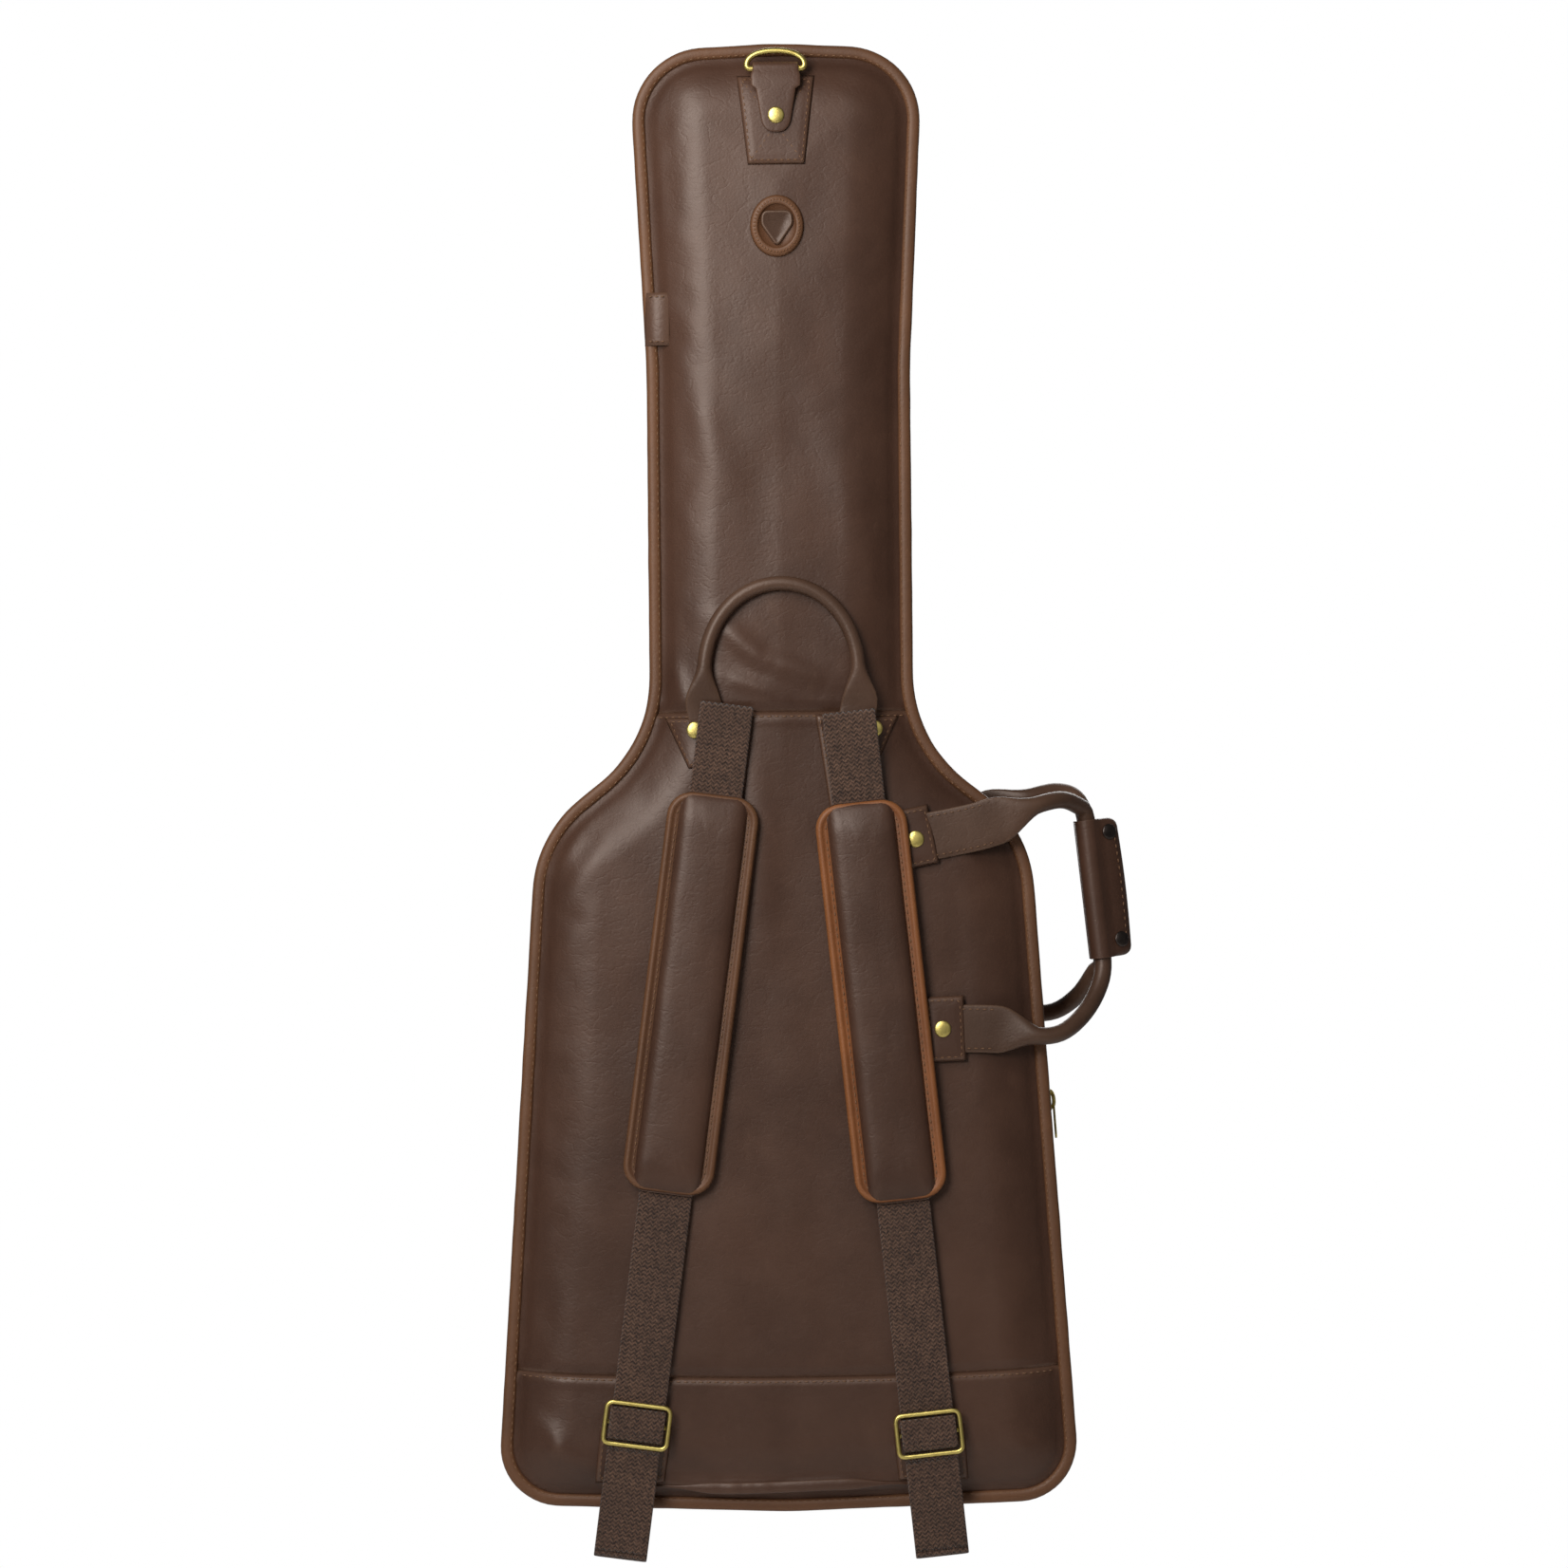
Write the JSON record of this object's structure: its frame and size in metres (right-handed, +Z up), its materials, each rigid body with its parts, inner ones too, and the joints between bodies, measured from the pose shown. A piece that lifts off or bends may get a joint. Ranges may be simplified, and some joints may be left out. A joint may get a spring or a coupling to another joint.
{
  "type": "padded gig bag",
  "caption": "Padded leather gig bag for an electric guitar, with a hinged zip-round front, padded shoulder straps, a carrying handle, a snap-wrapped side handle and a hanging ring.",
  "frame": {"origin": "top inside point of the hanging ring, where a hook carries the bag", "axes": "+Z up, neck end up; -Y out of the back with the shoulder straps; +Y out of the front with the accessory pocket; +X towards the side handle"},
  "size_m": [0.4581, 0.1298, 1.0873],
  "materials": {
    "leather_panel": "waxed pull-up leather, dark brown",
    "leather_trim": "lighter brown edge leather with stitching",
    "leather_handle": "rolled leather, dark brown",
    "webbing": "herringbone webbing",
    "foam_padding": "closed-cell foam padding, matt",
    "lining_cloth": "plain woven lining",
    "brass_fittings": "polished pale brass",
    "snap_metal": "dark antique finish",
    "zip_tape": "woven tape with moulded teeth"
  },
  "bodies": {
    "root": {"back_neck_panel": "leather_panel", "back_body_panel": "leather_panel", "back_bottom_panel": "leather_panel", "back_foam": "foam_padding", "back_lining": "lining_cloth", "back_binding": "leather_trim", "back_side_wall": "leather_panel", "back_zip_tape": "zip_tape", "spine_strip": "leather_panel", "ring_patch": "leather_trim", "ring_keeper": "leather_panel", "ring_rivet": "brass_fittings", "badge": "leather_trim", "top_handle_patch_left": "leather_trim", "top_handle_patch_right": "leather_trim", "top_handle_rivet_left": "brass_fittings", "top_handle_rivet_right": "brass_fittings", "strap_anchor_left": "leather_trim", "strap_anchor_right": "leather_trim", "strap_loop_left": "webbing", "strap_loop_right": "webbing", "side_handle_back_strap_upper": "leather_panel", "side_handle_back_strap_lower": "leather_panel", "side_handle_back_rivet_upper": "brass_fittings", "side_handle_back_rivet_lower": "brass_fittings", "zip_end_tab": "leather_panel", "neck_rest": "lining_cloth"},
    "lid": {"front_panel": "leather_panel", "front_foam": "foam_padding", "front_lining": "lining_cloth", "front_binding": "leather_trim", "front_side_wall": "leather_panel", "front_zip_tape": "zip_tape", "side_handle_front_strap_upper": "leather_panel", "side_handle_front_strap_lower": "leather_panel", "side_handle_front_rivet_upper": "brass_fittings", "side_handle_front_rivet_lower": "brass_fittings", "front_pocket": "leather_panel", "pocket_zip_tape": "zip_tape"},
    "ring": {"hang_ring": "brass_fittings"},
    "carry_handle": {"top_handle": "leather_handle"},
    "handle_back": {"side_handle_back_roll": "leather_handle", "side_handle_back_wrap": "leather_panel", "side_handle_snap_upper": "snap_metal", "side_handle_snap_lower": "snap_metal"},
    "handle_front": {"side_handle_front_roll": "leather_handle", "side_handle_front_wrap": "leather_panel"},
    "strap_left": {"strap_webbing_upper_left": "webbing", "strap_pad_left": "leather_panel", "strap_webbing_lower_left": "webbing"},
    "strap_right": {"strap_webbing_upper_right": "webbing", "strap_pad_right": "leather_panel", "strap_webbing_lower_right": "webbing"},
    "buckle_left": {"strap_buckle_left": "brass_fittings"},
    "buckle_right": {"strap_buckle_right": "brass_fittings"},
    "main_zip_runner": {"main_zip_slider": "brass_fittings"},
    "main_zip_leaf": {"main_zip_pull": "brass_fittings"},
    "pocket_zip_runner": {"pocket_zip_slider": "brass_fittings"},
    "pocket_zip_leaf": {"pocket_zip_pull": "brass_fittings"}
  },
  "joints": [
    {"name": "lid_hinge", "type": "hinge", "parent": "root", "child": "lid", "pos_m": [-0.175, 0.044, -0.5596], "axis": [0.0669, 0, 0.9978], "range_deg": [0, 150]},
    {"name": "ring_swing", "type": "hinge", "parent": "root", "child": "ring", "pos_m": [0, 0, -0.0106], "axis": [1, 0, 0], "range_deg": [0, 100]},
    {"name": "carry_handle_swing", "type": "hinge", "parent": "root", "child": "carry_handle", "pos_m": [0, -0.0066, -0.4566], "axis": [1, 0, 0], "range_deg": [0, 100]},
    {"name": "handle_back_swing", "type": "hinge", "parent": "root", "child": "handle_back", "pos_m": [0.1635, -0.003, -0.6256], "axis": [0.0196, 0, -0.9998], "range_deg": [0, 90]},
    {"name": "handle_front_swing", "type": "hinge", "parent": "lid", "child": "handle_front", "pos_m": [0.1635, 0.091, -0.6256], "axis": [-0.0196, 0, 0.9998], "range_deg": [0, 90]},
    {"name": "strap_left_swing", "type": "hinge", "parent": "root", "child": "strap_left", "pos_m": [-0.039, -0.009, -0.4666], "axis": [-1, 0, 0], "range_deg": [0, 10]},
    {"name": "strap_right_swing", "type": "hinge", "parent": "root", "child": "strap_right", "pos_m": [0.048, -0.009, -0.4726], "axis": [-1, 0, 0], "range_deg": [0, 10]},
    {"name": "buckle_left_slide", "type": "slide", "parent": "strap_left", "child": "buckle_left", "axis": [0.134, 0, 0.991], "range_m": [0, 0.145]},
    {"name": "buckle_right_slide", "type": "slide", "parent": "strap_right", "child": "buckle_right", "axis": [-0.1011, 0, 0.9949], "range_m": [0, 0.145]},
    {"name": "main_zip_slide", "type": "slide", "parent": "root", "child": "main_zip_runner", "axis": [0.0669, 0, -0.9978], "range_m": [0, 0.2]},
    {"name": "main_zip_pull_swing", "type": "hinge", "parent": "main_zip_runner", "child": "main_zip_leaf", "pos_m": [0.19298, 0.044, -0.74996], "axis": [0, -1, 0], "range_deg": [0, 150]},
    {"name": "pocket_zip_slide", "type": "slide", "parent": "lid", "child": "pocket_zip_runner", "axis": [-1, 0, 0], "range_m": [0, 0.19]},
    {"name": "pocket_zip_pull_swing", "type": "hinge", "parent": "pocket_zip_runner", "child": "pocket_zip_leaf", "pos_m": [0.0998, 0.0968, -0.7266], "axis": [0, 1, 0], "range_deg": [0, 40]}
  ]
}
